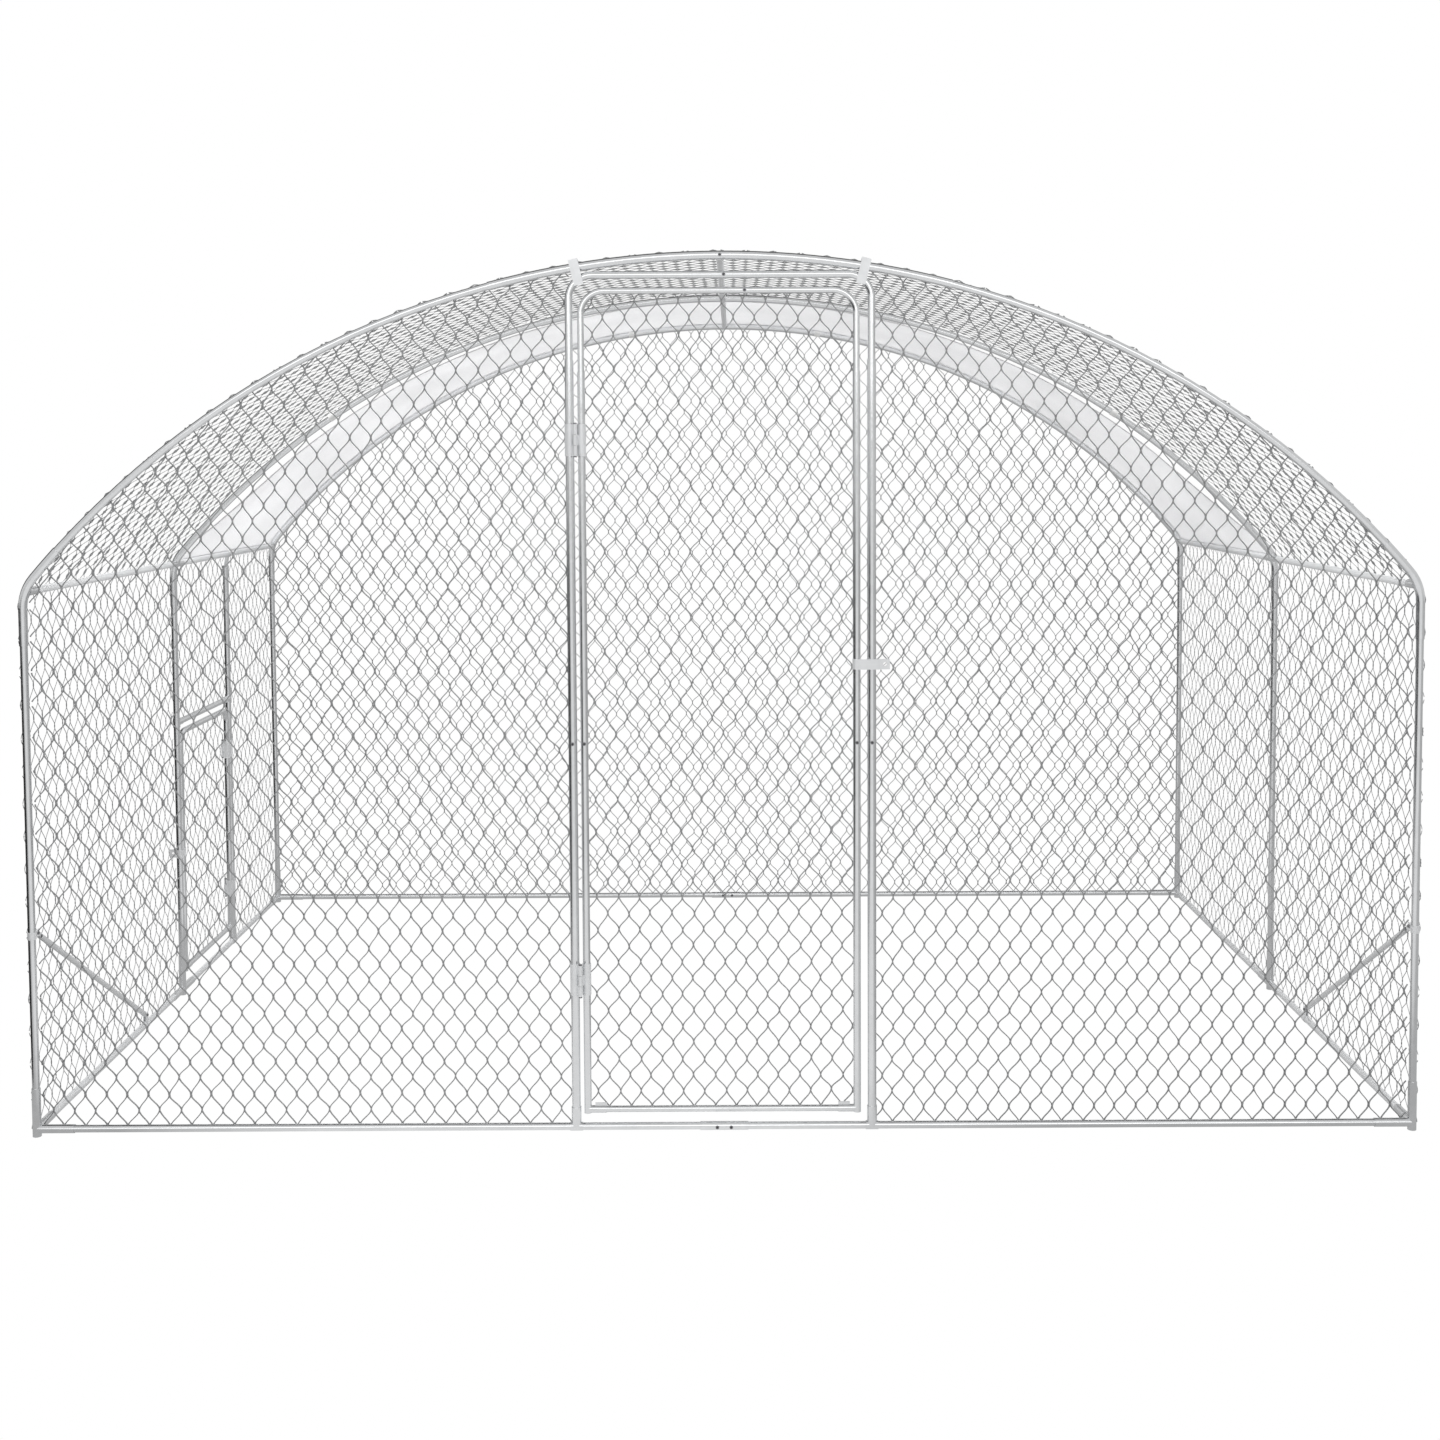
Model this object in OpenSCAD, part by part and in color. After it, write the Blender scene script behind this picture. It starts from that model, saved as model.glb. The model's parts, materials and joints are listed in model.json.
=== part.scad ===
// Walk-in poultry run: three tube hoops on a base frame, covered with hexagonal wire netting,
// with a front door, a low side door and a sheet over the rear half of the roof.
// Millimetres. Z is up, the front door faces -Y, and the origin is on the ground at the middle.

/* [Run] */
// Distance between the leg centres across the run
leg_span = 2980; // [2700:10:3200]
// Distance from one hoop to the next
bay = 1000; // [900:10:1200]
// Height of the arch centreline at the crown
crown_height = 1888; // [1870:1:1960]
// Centreline radius of the roof arch
arch_radius = 1930; // [1900:5:2050]
// Centreline radius of the eave bends
bend_radius = 100; // [80:5:130]

/* [Tubes] */
// Outside diameter of the plain tubes
tube_od = 16; // [14:0.5:18]
// Wall of the plain tubes
tube_wall = 1; // [0.8:0.1:1.5]
// Wall of the tubes that the plain ones plug into
socket_wall = 1.2; // [1:0.1:1.6]
// Radial clearance of a plugged joint
slip = 0.15; // [0.1:0.05:0.3]
// Depth to which a tube plugs in
plug_depth = 50; // [30:5:60]
// Straight length of an eave bend along the leg
bend_stem = 81; // [75:1:110]
// Length of an eave bend along the arch
bend_tail = 78; // [70:1:110]
// Length of a crown tube along the arch
crown_length = 990; // [800:10:1200]
// Gap between two tube ends that meet in a sleeve
end_gap = 1; // [0.5:0.5:4]
// Clearance between pieces that lie against each other
seat_gap = 0.3; // [0.2:0.1:0.5]

/* [Base] */
// Height of the base rail centreline
rail_height = 16; // [14:1:24]
// Height of a corner fitting
corner_height = 106; // [80:1:140]
// Reach of a corner fitting's stub from the leg centre
stub_reach = 82; // [60:1:110]
// Thickness of a foot under its leg
foot_floor = 3; // [2:0.5:5]
// Length of the sleeve in the middle of a rail
rail_sleeve_length = 104; // [80:1:140]
// Length of the sockets that hold the ridge and eave tubes at a hoop
hoop_socket_length = 40; // [25:1:60]

/* [Front doorway] */
// Distance from the middle to a jamb
jamb_offset = 320; // [280:5:360]
// Distance from the crown down to the header
header_drop = 41; // [38:1:70]
// Length of the header bow above the jambs
header_leg = 179; // [120:1:260]
// Corner radius of the header bow and of the door's top bow
bow_radius = 50; // [35:1:70]
// Height of a jamb socket above the rail
jamb_socket_height = 34; // [25:1:50]
// Length of a jamb tee along the rail
jamb_tee_length = 27; // [25:1:40]
// Width of a strap between the crown and the header
strap_width = 20; // [12:1:30]
// Length of such a strap
strap_length = 55; // [48:1:65]
// Rise of the strap above the crown
strap_rise = 7; // [3:1:12]
// Thickness of the strap
strap_thick = 2; // [1:0.5:3]
// Distance from a jamb centre to the strap's centre
strap_inset = 14; // [8:1:20]
// Lean of the strap from upright, in degrees
strap_lean = 14; // [5:1:20]

/* [Front door] */
// Distance from the jamb centre to the stile centre on the hinge side
hinge_side_gap = 25; // [23:1:32]
// Distance from the jamb centre to the stile centre on the latch side
latch_side_gap = 32; // [28:1:45]
// Distance from the header down to the door's top bow
door_head_gap = 33; // [28:1:60]
// Length of the door's top bow above the stiles
door_bow_leg = 171; // [120:1:260]
// Height of the door's bottom rail centreline
door_bottom = 54; // [48:1:80]
// Height of a door elbow
elbow_height = 23; // [20:1:35]
// Reach of a door elbow along the bottom rail
elbow_reach = 41; // [30:1:60]
// Height of the seam flange on an elbow
elbow_flange = 6; // [3:1:9]
// Height of the screws on jambs and stiles
post_screw_height = 852; // [700:1:950]
// Place of the header screw from the middle
header_screw_x = 8; // [-100:1:100]
// Place of the door top screw from the middle
door_screw_x = 52; // [-100:1:100]

/* [Hinges and latches] */
// Height of the front door's lower hinge
hinge_low = 340; // [200:1:500]
// Height of the front door's upper hinge
hinge_high = 1500; // [1300:1:1560]
// Height of a front door hinge
hinge_height = 68; // [50:1:90]
// Distance of the hinge pins in front of the tubes
pin_reach = 16; // [15.5:0.5:20]
// Diameter of a hinge pin
pin_d = 5; // [4:0.5:6]
// Radial clearance of a hinge pin or of a hasp on its stile
running_fit = 0.05; // [0.02:0.01:0.1]
// Wall of a hinge knuckle
knuckle_wall = 1.8; // [1.2:0.1:2.2]
// Thickness of bands and clamps
band_thick = 1.2; // [0.8:0.1:1.4]
// Height of the front door latch
latch_height = 1020; // [700:1:1300]
// Width of the latch plates
latch_plate = 22; // [16:1:30]
// Thickness of the latch plates
latch_thick = 1.5; // [1:0.1:2]
// Length of the latch tab beside the jamb
latch_tab = 26; // [18:1:40]
// Step from the hasp's arm back to its tab
latch_step = 4.4; // [3:0.1:6]
// Distance from the start of the tab to the padlock hole
padlock_place = 15.6; // [9:0.1:18]
// Diameter of the padlock holes
padlock_d = 8; // [5:0.5:9]

/* [Side door] */
// Place of the side door's post behind the middle hoop
side_post_y = 484; // [440:1:560]
// Height of the side door's header
side_header_height = 750; // [690:1:900]
// Height of the top of the side door leaf
side_leaf_top = 720; // [600:1:726]
// Height of the bottom of the side door leaf
side_leaf_bottom = 66; // [50:1:90]
// Distance from the leg or post centre to the leaf's stile centre
side_stile_gap = 25; // [24:1:32]
// Corner radius of the side door leaf
side_bow_radius = 40; // [30:1:60]
// Height of the side door's lower hinge
side_hinge_low = 180; // [130:1:260]
// Height of the side door's upper hinge
side_hinge_high = 600; // [480:1:640]
// Height of a side door hinge
side_hinge_height = 50; // [36:1:70]
// Height of the side door latch
side_latch_height = 390; // [300:1:440]
// Distance from the leg centre to the side hasp's ear
side_ear_inset = 6; // [4:0.5:8]
// Outward reach of the side latch ears
side_ear_reach = 26; // [22:1:34]
// Length of the stubs and collars on the side door's frame
collar_length = 26; // [22:1:40]

/* [Braces] */
// Outside diameter of a brace
brace_od = 12; // [10:0.5:14]
// Height of the brace on the leg
brace_height = 440; // [300:10:600]
// Place of the brace on the side rail, behind the front hoop
brace_run = 700; // [500:10:850]
// Distance from a tube centre to the brace bolt
brace_reach = 24; // [22:1:32]
// Length of a brace beyond its bolts
tongue_tip = 8.4; // [5:0.2:10]
// Length of a clamp's ears beyond the bolt
ear_tip = 7.2; // [5:0.2:10]
// Thickness of a flattened brace end
brace_tongue = 5; // [3:0.5:6]
// Width of a clamp
clamp_width = 16; // [12:1:24]

/* [Fasteners] */
// Diameter of the screws and bolts
screw_d = 4; // [3:0.5:5]
// Diameter of a screw head
screw_head_d = 7.5; // [6:0.5:9]
// Height of a screw head
screw_head = 2.6; // [1.5:0.1:3]
// Depth of a screw below its head
screw_depth = 6; // [4:0.5:8]
// Distance between the two screws of a rail sleeve
sleeve_screw_pitch = 30; // [20:1:60]

/* [Netting] */
// Width of a net gap from twist to twist
net_cell = 400; // [300:10:500]
// Distance between rows of gaps
net_row = 308; // [230:2:400]
// Length of the twist between gaps
net_twist = 150; // [80:2:180]
// Width of a strand
net_strand = 8; // [4:1:14]
// Thickness of the netting
net_thick = 2; // [1.2:0.1:3]

/* [Cover] */
// Thickness of the cover sheet
cover_thick = 1.2; // [0.6:0.1:2]
// Half width of the part of the cover's front edge that reaches the middle hoop
cover_tongue = 150; // [40:10:300]
// Depth of the cutout between that part and an eave, and radius of its corners
cover_setback = 230; // [100:10:450]
// Length of the cover down each eave bend, in degrees of the bend
cover_wrap = 25; // [5:1:38]
// Angle of the middle hoop's ties from the crown
front_tie_angle = 33; // [20:1:40]
// Angle of the rear ties from the crown
rear_tie_angle = 9; // [4:1:12]
// Width of a tie
tie_width = 18; // [6:1:20]

/* [Hidden] */
$fn = 48;
arc_fn = 360;
steel = [0.80, 0.81, 0.82];
dark_steel = [0.55, 0.56, 0.58];
wire = [0.62, 0.63, 0.64];
sheet = [0.93, 0.93, 0.92];
tie_white = [0.82, 0.82, 0.81];
cut = 1;
// The tight eave bends are a touch thicker than what runs into them, so that the two fuse
bend_swell = 0.1;
seam_angle = 0.5;

tube_r = tube_od / 2;
tube_bore = tube_od - 2 * tube_wall;
socket_bore = tube_od + 2 * slip;
socket_od = socket_bore + 2 * socket_wall;
socket_r = socket_od / 2;
plug_od = tube_bore - 2 * slip;
plug_bore = plug_od - 2 * tube_wall;

half_span = leg_span / 2;
arch_z = crown_height - arch_radius;
bend_x = half_span - bend_radius;
bend_z = arch_z + sqrt(pow(arch_radius - bend_radius, 2) - pow(bend_x, 2));
bend_angle = asin(bend_x / (arch_radius - bend_radius));
function arc_deg(length) = length / arch_radius * 180 / PI;
bend_end_angle = bend_angle - arc_deg(bend_tail);
crown_angle = arc_deg(crown_length / 2);
plug_angle = arc_deg(plug_depth);

eave_angle = (90 + bend_angle) / 2;
eave_x = bend_x + bend_radius * sin(eave_angle);
eave_z = bend_z + bend_radius * cos(eave_angle);
hoop_face = socket_r + seat_gap;

stub_stop = socket_r + socket_wall;
jamb_socket_bore = socket_od + 2 * slip;
jamb_socket_od = jamb_socket_bore + 2 * socket_wall;
jamb_foot = rail_height + socket_r + seat_gap;
header_height = crown_height - header_drop;
jamb_top = header_height - header_leg;
door_top = header_height - door_head_gap;
stile_top = door_top - door_bow_leg;
hinge_stile_offset = jamb_offset - hinge_side_gap;
latch_stile_offset = jamb_offset - latch_side_gap;

tube_band_r = tube_r + slip + band_thick;
jamb_band_r = socket_r + slip + band_thick;
knuckle_r = pin_d / 2 + running_fit + knuckle_wall;
hinge_x = -(jamb_offset + hinge_stile_offset) / 2;
side_hinge_y = side_post_y - side_stile_gap / 2;
side_latch_stile_y = side_stile_gap;
side_hinge_stile_y = side_post_y - side_stile_gap;

arm_y = jamb_band_r + seat_gap;
joggle_x = jamb_offset + jamb_band_r + latch_thick;
tab_y = arm_y - latch_step;
tab_gap = 1;
keeper_y = tab_y - latch_thick - tab_gap;
padlock_x = joggle_x + padlock_place;
side_arm_reach = tube_band_r + seat_gap;
side_ear_gap = 1;
side_hasp_ear = side_stile_gap - side_ear_inset;
side_padlock_reach = (side_arm_reach + side_ear_reach + latch_thick) / 2;

end_net_y = jamb_band_r + seat_gap;
side_net_x = half_span + socket_r + seat_gap;
rear_net_y = bay + end_net_y;
leaf_net_gap = tube_band_r + seat_gap;
net_edge = socket_r + seat_gap;
roof_gap = socket_r + seat_gap;
roof_net_front_edge = -bay + hoop_face + strap_thick + seat_gap;
cover_gap = roof_gap;
cutout_centres = [cover_tongue + cover_setback, eave_x - tube_od - cover_setback];
cover_edge_z = bend_z + (bend_radius + cover_gap) * cos(bend_angle + cover_wrap) - seat_gap;

brace_front = [-bay + brace_reach, brace_height];
brace_foot = [-bay + brace_run, rail_height + brace_reach];
brace_vector = brace_foot - brace_front;
brace_length = norm(brace_vector);
brace_angle = atan2(brace_vector.y, brace_vector.x);
tongue_length = 2 * brace_od;
ear_inner = brace_tongue / 2 + slip;

// Shapes that repeat

module along_x() { rotate([0, 90, 0]) children(); }
module along_y() { rotate([-90, 0, 0]) children(); }
module both_sides() {
    children();
    mirror([1, 0, 0]) children();
}

module ring(od, bore) {
    difference() {
        circle(d = od);
        circle(d = bore);
    }
}

module pipe(od, bore, length) { linear_extrude(length) ring(od, bore); }

// Tube along an arc in the XZ plane, with angles from upright towards +X
module arc_pipe(radius, od, bore, from, to) {
    rotate([90, 0, 0]) rotate([0, 0, 90 - to])
        rotate_extrude(angle = to - from, $fn = arc_fn) translate([radius, 0]) ring(od, bore);
}

// Inverted U in the XZ plane from x0 to x1, with its feet at foot and its top centreline at top
module bow(x0, x1, foot, top, radius, od, bore) {
    for (x = [x0, x1]) translate([x, 0, foot]) pipe(od, bore, top - radius - foot);
    translate([x0 + radius, 0, top - radius]) arc_pipe(radius, od, bore, -90, 0);
    translate([x1 - radius, 0, top - radius]) arc_pipe(radius, od, bore, 0, 90);
    translate([x0 + radius, 0, top]) along_x() pipe(od, bore, x1 - x0 - 2 * radius);
}

// Pan screw on the surface at the origin, with its head towards +Z
module screw(depth) {
    translate([0, 0, slip]) cylinder(d = screw_head_d, h = screw_head);
    translate([0, 0, -depth]) cylinder(d = screw_d, h = depth + slip + cut);
}

module screw_hole(depth) { translate([0, 0, -depth]) cylinder(d = screw_d + 2 * slip, h = 2 * depth); }

module on_front(x, y, z, r) { translate([x, y - r, z]) rotate([90, 0, 0]) children(); }

// Hoops

module hoop_legs(y) {
    both_sides() translate([half_span, y, foot_floor])
        pipe(tube_od, tube_bore, bend_z - bend_stem + plug_depth - foot_floor);
}

module hoop_bends(y) {
    both_sides() translate([0, y, 0]) union() {
        translate([half_span, 0, bend_z - bend_stem]) pipe(socket_od, socket_bore, bend_stem);
        translate([bend_x, 0, bend_z])
            arc_pipe(bend_radius, socket_od + bend_swell, socket_bore - bend_swell, bend_angle - seam_angle, 90);
        translate([0, 0, arch_z]) arc_pipe(arch_radius, socket_od, socket_bore, bend_end_angle, bend_angle);
    }
}

module hoop_side_arches(y) {
    both_sides() translate([0, y, arch_z])
        arc_pipe(arch_radius, tube_od, tube_bore, crown_angle - plug_angle, bend_end_angle + plug_angle);
}

module hoop_crown(y) {
    translate([0, y, arch_z]) arc_pipe(arch_radius, socket_od, socket_bore, -crown_angle, crown_angle);
}

module front_legs() { color(steel) hoop_legs(-bay); }
module mid_legs() { color(steel) hoop_legs(0); }
module rear_legs() { color(steel) hoop_legs(bay); }
module front_bends() { color(steel) hoop_bends(-bay); }
module mid_bends() { color(steel) hoop_bends(0); }
module rear_bends() { color(steel) hoop_bends(bay); }
module front_side_arches() { color(steel) hoop_side_arches(-bay); }
module mid_side_arches() { color(steel) hoop_side_arches(0); }
module rear_side_arches() { color(steel) hoop_side_arches(bay); }
module front_crown() { color(steel) hoop_crown(-bay); }
module mid_crown() { color(steel) hoop_crown(0); }
module rear_crown() { color(steel) hoop_crown(bay); }

// Lengthwise tubes

module hoop_to_hoop(x, z) {
    for (y = [-bay, 0]) translate([x, y + hoop_face, z]) along_y() pipe(tube_od, tube_bore, bay - 2 * hoop_face);
}

module hoop_sockets(x, z) {
    for (y = [-bay, 0], start = [hoop_face, bay - hoop_face - hoop_socket_length])
        translate([x, y + start, z]) along_y() pipe(socket_od, socket_bore, hoop_socket_length);
}

module eave_tubes() { color(steel) both_sides() hoop_to_hoop(eave_x, eave_z); }
module ridge_tubes() { color(steel) hoop_to_hoop(0, crown_height); }

// Base

module sleeve_screws(y) {
    for (x = [-1, 1] * sleeve_screw_pitch / 2) on_front(x, y, rail_height, socket_r) children();
}

module joint_sleeves() {
    color(steel) {
        for (y = [-bay, bay]) difference() {
            translate([-rail_sleeve_length / 2, y, rail_height])
                along_x() pipe(socket_od, socket_bore, rail_sleeve_length);
            sleeve_screws(y) screw_hole(screw_depth);
        }
        both_sides() hoop_sockets(eave_x, eave_z);
        hoop_sockets(0, crown_height);
    }
}

module cross_rails(y) {
    length = half_span - stub_stop - seat_gap - end_gap / 2;
    difference() {
        both_sides() translate([end_gap / 2, y, rail_height]) along_x() pipe(tube_od, tube_bore, length);
        sleeve_screws(y) screw_hole(screw_depth);
    }
}

module front_base_rails() { color(steel) cross_rails(-bay); }
module rear_base_rails() { color(steel) cross_rails(bay); }

module side_base_rails() {
    start = stub_stop + seat_gap;
    color(steel) both_sides() for (y = [-bay, 0])
        translate([half_span, y + start, rail_height]) along_y() pipe(tube_od, tube_bore, bay - 2 * start);
}

// Foot with a leg socket and rail stubs that point along the given angles
module base_fitting(stub_angles) {
    difference() {
        union() {
            cylinder(d = socket_od, h = corner_height);
            for (a = stub_angles)
                translate([0, 0, rail_height]) rotate([0, 0, a]) along_x() cylinder(d = socket_od, h = stub_reach);
        }
        translate([0, 0, foot_floor]) cylinder(d = socket_bore, h = corner_height);
        for (a = stub_angles)
            translate([0, 0, rail_height]) rotate([0, 0, a]) translate([stub_stop, 0, 0])
                along_x() cylinder(d = socket_bore, h = stub_reach);
    }
}

module base_corners() {
    color(steel) {
        translate([-half_span, -bay, 0]) base_fitting([0, 90]);
        translate([half_span, -bay, 0]) base_fitting([90, 180]);
        translate([half_span, bay, 0]) base_fitting([180, 270]);
        translate([-half_span, bay, 0]) base_fitting([270, 0]);
    }
}

module base_tees() { color(steel) both_sides() translate([half_span, 0, 0]) base_fitting([90, 270]); }

// Front doorway

module door_jambs() {
    color(steel) both_sides() difference() {
        translate([jamb_offset, -bay, jamb_foot]) pipe(socket_od, socket_bore, jamb_top - jamb_foot);
        on_front(jamb_offset, -bay, post_screw_height, socket_r) screw_hole(screw_depth);
    }
}

module jamb_tees() {
    color(steel) both_sides() translate([jamb_offset, -bay, rail_height]) difference() {
        union() {
            cylinder(d = jamb_socket_od, h = socket_r + jamb_socket_height);
            translate([-jamb_tee_length / 2, 0, 0]) along_x() cylinder(d = socket_od, h = jamb_tee_length);
        }
        translate([0, 0, jamb_foot - rail_height - seat_gap])
            cylinder(d = jamb_socket_bore, h = jamb_socket_height + socket_od);
        translate([-jamb_tee_length, 0, 0]) along_x() cylinder(d = socket_bore, h = 2 * jamb_tee_length);
        translate([0, 0, -jamb_socket_od]) cylinder(d = 2 * jamb_tee_length, h = jamb_socket_od - socket_r);
    }
}

module door_header_bow() {
    color(steel) difference() {
        translate([0, -bay, 0])
            bow(-jamb_offset, jamb_offset, jamb_top - plug_depth, header_height, bow_radius, tube_od, tube_bore);
        on_front(header_screw_x, -bay, header_height, tube_r) screw_hole(screw_depth);
    }
}

// Strap that hooks over the front crown and reaches down over the header's corner
module header_strap() {
    x = jamb_offset - strap_inset;
    z = arch_z + sqrt(pow(arch_radius, 2) - pow(x, 2));
    face = socket_r + seat_gap;
    top = socket_r + strap_rise;
    lip = top - strap_thick - tube_r;
    translate([x, -bay, z]) rotate([0, strap_lean, 0]) translate([-strap_width / 2, 0, 0]) {
        translate([0, -face - strap_thick, top - strap_length]) cube([strap_width, strap_thick, strap_length]);
        translate([0, -face - strap_thick, top - strap_thick])
            cube([strap_width, 2 * (face + strap_thick), strap_thick]);
        translate([0, face, top - strap_thick - lip]) cube([strap_width, strap_thick, strap_thick + lip]);
    }
}

module header_straps() { color(steel) both_sides() header_strap(); }

// Braces

module brace_at(point) { translate([half_span, point.x, point.y]) rotate([brace_angle, 0, 0]) children(); }
module brace_bolt_hole() {
    translate([-tube_od, 0, 0]) along_x() cylinder(d = screw_d + 2 * slip, h = 2 * tube_od);
}

module corner_braces() {
    color(steel) both_sides() difference() {
        brace_at(brace_front) {
            translate([0, tongue_length, 0]) along_y()
                pipe(brace_od, brace_od - 2 * tube_wall, brace_length - 2 * tongue_length);
            for (y = [-tongue_tip, brace_length - tongue_length - cut])
                translate([-brace_tongue / 2, y, -brace_od / 2])
                    cube([brace_tongue, tongue_length + tongue_tip + cut, brace_od]);
        }
        for (p = [brace_front, brace_foot]) brace_at(p) brace_bolt_hole();
    }
}

// Band on a tube along Z, with two ears towards +Y that hold a brace end
module brace_clamp() {
    difference() {
        union() {
            translate([0, 0, -clamp_width / 2]) cylinder(r = tube_band_r, h = clamp_width);
            for (x = [ear_inner, -ear_inner - band_thick])
                translate([x, 0, -clamp_width / 2]) cube([band_thick, brace_reach + ear_tip, clamp_width]);
        }
        translate([0, 0, -clamp_width]) cylinder(r = tube_r + slip, h = 2 * clamp_width);
        translate([0, brace_reach, 0]) brace_bolt_hole();
    }
}

module brace_clamps() {
    color(steel) both_sides() {
        translate([half_span, -bay, brace_height]) brace_clamp();
        translate([half_span, -bay + brace_run, rail_height]) rotate([90, 0, 0]) brace_clamp();
    }
}

// Hinges. A leaf is a band round a tube at the origin with knuckles round a pin at the given point.
module hinge_leaf(radius, pin, height, first, last) {
    third = height / 3;
    reach = norm(pin);
    linear_extrude(height) ring(2 * (radius + slip + band_thick), 2 * (radius + slip));
    for (i = [first : 2 : last]) translate([0, 0, i * third + seat_gap]) linear_extrude(third - 2 * seat_gap)
        difference() {
            union() {
                translate(pin) circle(r = knuckle_r);
                rotate(atan2(pin.y, pin.x)) translate([0, -band_thick]) square([reach, 2 * band_thick]);
            }
            translate(pin) circle(r = pin_d / 2 + running_fit);
            circle(r = radius + slip);
        }
}

module hinge_pin(height) {
    head = pin_d / 2;
    cylinder(d = pin_d, h = height);
    translate([0, 0, height]) cylinder(d = pin_d + head, h = head);
    translate([0, 0, -head]) cylinder(d = pin_d + head, h = head);
}

module at_door_hinges() {
    for (z = [hinge_low, hinge_high]) translate([0, -bay, z - hinge_height / 2]) children();
}

module door_hinge_frame_leaves() {
    color(steel) at_door_hinges() translate([-jamb_offset, 0, 0])
        hinge_leaf(socket_r, [hinge_x + jamb_offset, -pin_reach], hinge_height, 0, 2);
}

module door_hinge_leaves() {
    color(steel) at_door_hinges() translate([-hinge_stile_offset, 0, 0])
        hinge_leaf(tube_r, [hinge_x + hinge_stile_offset, -pin_reach], hinge_height, 1, 1);
}

module door_hinge_pins() {
    color(dark_steel) at_door_hinges() translate([hinge_x, -pin_reach, 0]) hinge_pin(hinge_height);
}

module at_side_hinges() {
    for (z = [side_hinge_low, side_hinge_high])
        translate([-half_span, 0, z - side_hinge_height / 2]) children();
}

module side_hinge_frame_leaves() {
    color(steel) at_side_hinges() translate([0, side_post_y, 0])
        hinge_leaf(tube_r, [-pin_reach, side_hinge_y - side_post_y], side_hinge_height, 0, 2);
}

module side_hinge_door_leaves() {
    color(steel) at_side_hinges() translate([0, side_hinge_stile_y, 0])
        hinge_leaf(tube_r, [-pin_reach, side_hinge_y - side_hinge_stile_y], side_hinge_height, 1, 1);
}

module side_hinge_pins() {
    color(dark_steel) at_side_hinges() translate([-pin_reach, side_hinge_y, 0]) hinge_pin(side_hinge_height);
}

// Front door latch

module padlock_hole() {
    translate([padlock_x, 0, latch_height]) rotate([90, 0, 0]) translate([0, 0, -tube_od])
        cylinder(d = padlock_d, h = 3 * tube_od);
}

module door_latch_keeper() {
    color(steel) translate([0, -bay, 0]) difference() {
        translate([0, 0, latch_height - latch_plate / 2]) linear_extrude(latch_plate) difference() {
            union() {
                translate([jamb_offset, 0]) circle(r = jamb_band_r);
                translate([jamb_offset, -keeper_y - latch_thick])
                    square([joggle_x + latch_tab - jamb_offset, latch_thick]);
            }
            translate([jamb_offset, 0]) circle(r = socket_r + slip);
        }
        padlock_hole();
    }
}

module door_latch_hasp() {
    arm_length = joggle_x + latch_thick - latch_stile_offset;
    color(steel) translate([0, -bay, 0]) difference() {
        translate([0, 0, latch_height - latch_plate / 2]) linear_extrude(latch_plate) difference() {
            union() {
                translate([latch_stile_offset, 0]) circle(r = tube_r + running_fit + band_thick);
                translate([latch_stile_offset - tube_r / 2, -arm_y - latch_thick]) square([tube_r, arm_y]);
                translate([latch_stile_offset - tube_r / 2, -arm_y - latch_thick])
                    square([arm_length + tube_r / 2, latch_thick]);
                translate([joggle_x, -arm_y - latch_thick]) square([latch_thick, arm_y - tab_y + latch_thick]);
                translate([joggle_x, -tab_y - latch_thick]) square([latch_tab, latch_thick]);
            }
            translate([latch_stile_offset, 0]) circle(r = tube_r + running_fit);
        }
        padlock_hole();
    }
}

// Door leaves

// Elbow at the foot of a stile on the Z axis, with its rail stub along +X
module leaf_elbow() {
    difference() {
        union() {
            translate([0, 0, -tube_r]) cylinder(d = tube_od, h = elbow_height);
            translate([0, 0, elbow_height - tube_r]) cylinder(d = plug_od, h = plug_depth);
            along_x() cylinder(d = tube_od, h = elbow_reach);
            translate([tube_od, -tube_wall, 0])
                cube([elbow_reach - tube_od, 2 * tube_wall, tube_r + elbow_flange]);
        }
        translate([tube_r + tube_wall, 0, 0]) along_x() cylinder(d = tube_bore, h = elbow_reach);
    }
}

module leaf_rail(length) {
    inset = tube_r + tube_wall + seat_gap;
    translate([inset, 0, 0]) along_x() pipe(plug_od, plug_bore, length - 2 * inset);
}

module on_door_stiles() {
    for (x = [-hinge_stile_offset, latch_stile_offset]) translate([x, -bay, 0]) children();
}

door_width = hinge_stile_offset + latch_stile_offset;
elbow_top = elbow_height - tube_r;

module door_stiles() {
    foot = door_bottom + elbow_top;
    color(steel) on_door_stiles() difference() {
        translate([0, 0, foot]) pipe(tube_od, tube_bore, stile_top - foot);
        on_front(0, 0, post_screw_height, tube_r) screw_hole(screw_depth);
    }
}

module door_top_bow() {
    color(steel) difference() {
        translate([0, -bay, 0])
            bow(-hinge_stile_offset, latch_stile_offset, stile_top - plug_depth, door_top, bow_radius, plug_od,
                plug_bore);
        on_front(door_screw_x, -bay, door_top, plug_od / 2) screw_hole(screw_depth);
    }
}

module door_elbows() {
    color(steel) translate([-hinge_stile_offset, -bay, door_bottom]) {
        leaf_elbow();
        translate([door_width, 0, 0]) mirror([1, 0, 0]) leaf_elbow();
    }
}

module door_bottom_rail() {
    color(steel) translate([-hinge_stile_offset, -bay, door_bottom]) leaf_rail(door_width);
}

module door_screws() {
    color(dark_steel) {
        on_door_stiles() on_front(0, 0, post_screw_height, tube_r) screw(screw_depth);
        on_front(door_screw_x, -bay, door_top, plug_od / 2) screw(screw_depth);
    }
}

// Side door. The leaf is drawn along +X and turned to lie along the left wall.

module on_left_wall(y, z) { translate([-half_span, y, z]) rotate([0, 0, 90]) children(); }

side_leaf_width = side_hinge_stile_y - side_latch_stile_y;

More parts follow.
